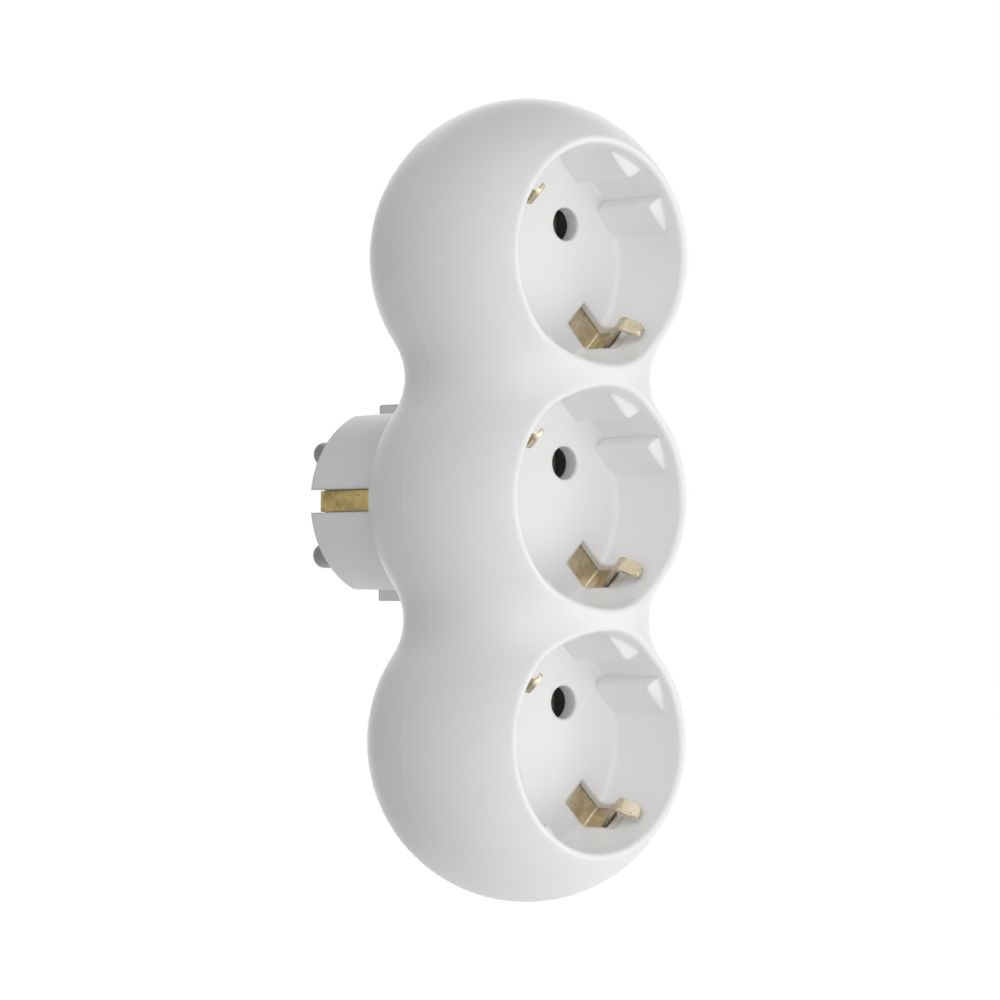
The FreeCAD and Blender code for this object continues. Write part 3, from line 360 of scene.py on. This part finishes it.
def slot_backs(shape):
    """Thin white walls in the earth slots, two slots in each socket, in millimetres. The deep wall
    closes the slot behind the strip, and the shallow one stands behind the arm, where the arm has
    left the slot."""
    thickness = 0.24
    deep = {"reach": 21.8, "middle": -46.2, "width": 6.6, "length": 10.2}
    shallow = {"reach": 20.1, "middle": -49.33, "width": 5.6, "length": 3.04}
    turn = Matrix.Rotation(SOCKET_TURN, 3, "Y")
    for height in SOCKET_HEIGHTS:
        for side in (1, -1):
            for wall in (deep, shallow):
                corners = bmesh.ops.create_cube(shape, size=1.0)["verts"]
                for vert in corners:
                    across = vert.co.x * wall["width"]
                    along = wall["middle"] + vert.co.y * wall["length"]
                    out = side * wall["reach"] + vert.co.z * thickness
                    vert.co = Vector((across, along, out)) * MM
                bmesh.ops.rotate(shape, verts=corners, cent=(0, 0, 0), matrix=turn)
                bmesh.ops.translate(shape, verts=corners, vec=(0, 0, height))
    bmesh.ops.recalc_face_normals(shape, faces=shape.faces)


slot_walls = mesh_object("earth_slot_backs", slot_backs)
slot_walls.data.materials.append(housing_plastic)
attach(slot_walls, "root")


# Studio.

def direction(azimuth, elevation):
    """The way out from the adapter; azimuth 0 is the sockets' side, and positive turns to the right."""
    turn, rise = math.radians(azimuth), math.radians(elevation)
    return Vector((math.sin(turn) * math.cos(rise), -math.cos(turn) * math.cos(rise), math.sin(rise)))


def shown_directly(tree, *kinds):
    """1 for the given kinds of ray, and 0 for the rays that carry light."""
    rays = add_node(tree, "ShaderNodeLightPath").outputs
    share = rays[kinds[0]]
    for kind in kinds[1:]:
        share = worked_out(tree, "MAXIMUM", share, rays[kind])
    return share


def studio_floor():
    """A wide pale floor well below the adapter, which its plug holds off the ground."""
    bpy.ops.mesh.primitive_plane_add(size=FLOOR_WIDTH, location=(0, 0, -FLOOR_DROP))
    floor = bpy.context.object
    floor.name = "studio_floor"
    material, tree, place = new_material("white paper floor")
    paper = add_node(tree, "ShaderNodeBsdfDiffuse", {"Color": colour("#f3f3f2")})
    glow = add_node(tree, "ShaderNodeEmission", {"Color": (1, 1, 1, 1), "Strength": FLOOR_GLOW})
    both = add_node(tree, "ShaderNodeAddShader", {0: paper.outputs[0], 1: glow.outputs[0]})
    seen = shown_directly(tree, "Is Camera Ray", "Is Glossy Ray")
    looks = add_node(tree, "ShaderNodeMixShader", {"Fac": seen, 1: paper.outputs[0], 2: both.outputs[0]})
    add_node(tree, "ShaderNodeOutputMaterial", {"Surface": looks.outputs[0]})
    floor.data.materials.append(material)


def soft_surroundings():
    """White to the eye and to reflections, and a weak, even light on the adapter."""
    world = bpy.data.worlds.new("soft white studio")
    bpy.context.scene.world = world
    world.use_nodes = True
    tree = world.node_tree
    tree.nodes.clear()
    seen = shown_directly(tree, "Is Camera Ray", "Is Transmission Ray", "Is Glossy Ray")
    strength = add_node(tree, "ShaderNodeMix", {"Factor": seen, "A": EVEN_LIGHT, "B": 1.0}, data_type="FLOAT")
    light = add_node(
        tree, "ShaderNodeBackground", {"Color": (1, 1, 1, 1), "Strength": strength.outputs["Result"]}
    )
    add_node(tree, "ShaderNodeOutputWorld", {"Surface": light.outputs[0]})


def soft_box(name, azimuth, elevation, size, power):
    """A square soft box that faces the middle lobe."""
    way = direction(azimuth, elevation)
    lamp = bpy.data.lights.new(name, "AREA")
    lamp.size = size
    lamp.energy = power
    holder = bpy.data.objects.new(name, lamp)
    holder.location = LOBE_CENTRE + way * LAMP_DISTANCE
    holder.rotation_euler = way.to_track_quat("Z", "Y").to_euler()
    bpy.context.scene.collection.objects.link(holder)


def photo_camera():
    """The photograph's view, found from the rims, the lobes and the nose in its 1000 pixel frame."""
    frame_size = 1000
    centre = frame_size / 2
    focal = 4661.0
    middle_lobe = (527.3, 499.5)
    roll = math.radians(0.27)
    distance = 835 * MM
    back = direction(-42.0, -1.6)
    right = Vector((0, 0, 1)).cross(back).normalized()
    up = back.cross(right)
    shift = right * (centre - middle_lobe[0]) + up * (middle_lobe[1] - centre)
    aim = LOBE_CENTRE + shift * distance / focal
    camera = bpy.data.cameras.new("photo_view")
    camera.sensor_width = 36.0
    camera.lens = focal / frame_size * camera.sensor_width
    camera.clip_start = 0.01
    camera.clip_end = 200
    holder = bpy.data.objects.new("photo_view", camera)
    holder.location = LOBE_CENTRE + back * distance
    look = (holder.location - aim).to_track_quat("Z", "Y").to_matrix()
    holder.rotation_euler = (look @ Matrix.Rotation(roll, 3, "Z")).to_euler()
    bpy.context.scene.collection.objects.link(holder)
    bpy.context.scene.camera = holder


studio_floor()
soft_surroundings()
soft_box("front_box", -42, 0, 1.4, 7.7)
soft_box("upper_box", -36, 45, 1.4, 7.0)
soft_box("low_box", 15, -28, 1.4, 13.7)
soft_box("right_box", 50, 0, 1.4, 6.9)
soft_box("rear_box", 138, 12, 1.6, 13)
photo_camera()
bpy.context.scene.view_settings.view_transform = "Standard"
